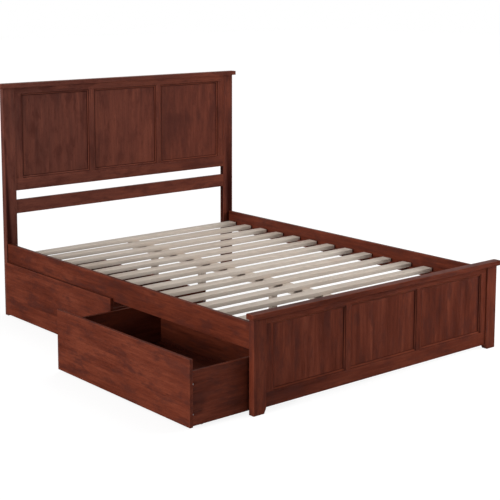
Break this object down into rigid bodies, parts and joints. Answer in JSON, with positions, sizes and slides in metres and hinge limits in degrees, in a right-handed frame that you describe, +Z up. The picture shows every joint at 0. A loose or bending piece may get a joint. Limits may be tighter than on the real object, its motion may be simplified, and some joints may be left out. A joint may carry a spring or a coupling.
{
  "type": "platform bed with storage drawers",
  "caption": "Platform bed with a tall panelled headboard, a low panelled footboard, a slatted deck and rolling drawers that pull out from under one side rail.",
  "frame": {"origin": "on the floor, midway between the side rails and midway between the two boards", "axes": "+Z up, +Y from the footboard to the headboard, -X to the side that the drawers open"},
  "size_m": [1.9077, 2.123, 1.269],
  "materials": {
    "stained_wood": "reddish-brown stained solid wood with a satin lacquer",
    "slat_wood": "pale bare softwood, planed",
    "zinc_steel": "zinc-plated steel",
    "wheel_plastic": "black moulded plastic"
  },
  "bodies": {
    "bed_frame": {"centre_beam": "slat_wood", "centre_legs": "slat_wood", "foot_post_left": "stained_wood", "foot_post_right": "stained_wood", "footboard_bottom_rail": "stained_wood", "footboard_cap": "stained_wood", "footboard_mullion_left": "stained_wood", "footboard_mullion_right": "stained_wood", "footboard_panel_centre": "stained_wood", "footboard_panel_left": "stained_wood", "footboard_panel_right": "stained_wood", "footboard_stile_left": "stained_wood", "footboard_stile_right": "stained_wood", "footboard_top_rail": "stained_wood", "head_post_left": "stained_wood", "head_post_right": "stained_wood", "headboard_bottom_rail": "stained_wood", "headboard_cap": "stained_wood", "headboard_lower_rail": "stained_wood", "headboard_mullion_left": "stained_wood", "headboard_mullion_right": "stained_wood", "headboard_panel_centre": "stained_wood", "headboard_panel_left": "stained_wood", "headboard_panel_right": "stained_wood", "headboard_stile_left": "stained_wood", "headboard_stile_right": "stained_wood", "headboard_top_rail": "stained_wood", "post_slot_plates": "zinc_steel", "rail_hook_plates": "zinc_steel", "side_rail_left": "stained_wood", "side_rail_right": "stained_wood", "slat_ledger_left": "slat_wood", "slat_ledger_right": "slat_wood", "slats": "slat_wood"},
    "front_drawer": {"front_drawer_axles": "zinc_steel", "front_drawer_back_wall": "stained_wood", "front_drawer_bottom": "stained_wood", "front_drawer_brackets": "zinc_steel", "front_drawer_face": "stained_wood", "front_drawer_front_wall": "stained_wood", "front_drawer_screws": "zinc_steel", "front_drawer_side_foot": "stained_wood", "front_drawer_side_head": "stained_wood"},
    "rear_drawer": {"rear_drawer_axles": "zinc_steel", "rear_drawer_back_wall": "stained_wood", "rear_drawer_bottom": "stained_wood", "rear_drawer_brackets": "zinc_steel", "rear_drawer_face": "stained_wood", "rear_drawer_front_wall": "stained_wood", "rear_drawer_screws": "zinc_steel", "rear_drawer_side_foot": "stained_wood", "rear_drawer_side_head": "stained_wood"},
    "front_drawer_wheel_inner_foot": {"front_drawer_wheel_inner_foot": "wheel_plastic"},
    "front_drawer_wheel_inner_head": {"front_drawer_wheel_inner_head": "wheel_plastic"},
    "front_drawer_wheel_outer_foot": {"front_drawer_wheel_outer_foot": "wheel_plastic"},
    "front_drawer_wheel_outer_head": {"front_drawer_wheel_outer_head": "wheel_plastic"},
    "rear_drawer_wheel_inner_foot": {"rear_drawer_wheel_inner_foot": "wheel_plastic"},
    "rear_drawer_wheel_inner_head": {"rear_drawer_wheel_inner_head": "wheel_plastic"},
    "rear_drawer_wheel_outer_foot": {"rear_drawer_wheel_outer_foot": "wheel_plastic"},
    "rear_drawer_wheel_outer_head": {"rear_drawer_wheel_outer_head": "wheel_plastic"}
  },
  "joints": [
    {"name": "front_drawer_slide", "type": "slide", "parent": "bed_frame", "child": "front_drawer", "axis": [-1, 0, 0], "range_m": [-0.2986, 0.26]},
    {"name": "rear_drawer_slide", "type": "slide", "parent": "bed_frame", "child": "rear_drawer", "axis": [-1, 0, 0], "range_m": [0, 0.56]},
    {"name": "front_drawer_wheel_inner_foot_spin", "type": "hinge", "parent": "front_drawer", "child": "front_drawer_wheel_inner_foot", "pos_m": [-0.5807, -0.977, 0.015], "axis": [0, -1, 0], "continuous": true},
    {"name": "front_drawer_wheel_inner_head_spin", "type": "hinge", "parent": "front_drawer", "child": "front_drawer_wheel_inner_head", "pos_m": [-0.5807, -0.043, 0.015], "axis": [0, -1, 0], "continuous": true},
    {"name": "front_drawer_wheel_outer_foot_spin", "type": "hinge", "parent": "front_drawer", "child": "front_drawer_wheel_outer_foot", "pos_m": [-1.0122, -0.977, 0.015], "axis": [0, -1, 0], "continuous": true},
    {"name": "front_drawer_wheel_outer_head_spin", "type": "hinge", "parent": "front_drawer", "child": "front_drawer_wheel_outer_head", "pos_m": [-1.0122, -0.043, 0.015], "axis": [0, -1, 0], "continuous": true},
    {"name": "rear_drawer_wheel_inner_foot_spin", "type": "hinge", "parent": "rear_drawer", "child": "rear_drawer_wheel_inner_foot", "pos_m": [-0.2821, 0.043, 0.015], "axis": [0, -1, 0], "continuous": true},
    {"name": "rear_drawer_wheel_inner_head_spin", "type": "hinge", "parent": "rear_drawer", "child": "rear_drawer_wheel_inner_head", "pos_m": [-0.2821, 0.977, 0.015], "axis": [0, -1, 0], "continuous": true},
    {"name": "rear_drawer_wheel_outer_foot_spin", "type": "hinge", "parent": "rear_drawer", "child": "rear_drawer_wheel_outer_foot", "pos_m": [-0.7136, 0.043, 0.015], "axis": [0, -1, 0], "continuous": true},
    {"name": "rear_drawer_wheel_outer_head_spin", "type": "hinge", "parent": "rear_drawer", "child": "rear_drawer_wheel_outer_head", "pos_m": [-0.7136, 0.977, 0.015], "axis": [0, -1, 0], "continuous": true}
  ],
  "couplings": [
    {"joint": "front_drawer_wheel_inner_foot_spin", "follows": "front_drawer_slide", "rad_per_m": 66.667},
    {"joint": "front_drawer_wheel_inner_head_spin", "follows": "front_drawer_slide", "rad_per_m": 66.667},
    {"joint": "front_drawer_wheel_outer_foot_spin", "follows": "front_drawer_slide", "rad_per_m": 66.667},
    {"joint": "front_drawer_wheel_outer_head_spin", "follows": "front_drawer_slide", "rad_per_m": 66.667},
    {"joint": "rear_drawer_wheel_inner_foot_spin", "follows": "rear_drawer_slide", "rad_per_m": 66.667},
    {"joint": "rear_drawer_wheel_inner_head_spin", "follows": "rear_drawer_slide", "rad_per_m": 66.667},
    {"joint": "rear_drawer_wheel_outer_foot_spin", "follows": "rear_drawer_slide", "rad_per_m": 66.667},
    {"joint": "rear_drawer_wheel_outer_head_spin", "follows": "rear_drawer_slide", "rad_per_m": 66.667}
  ]
}
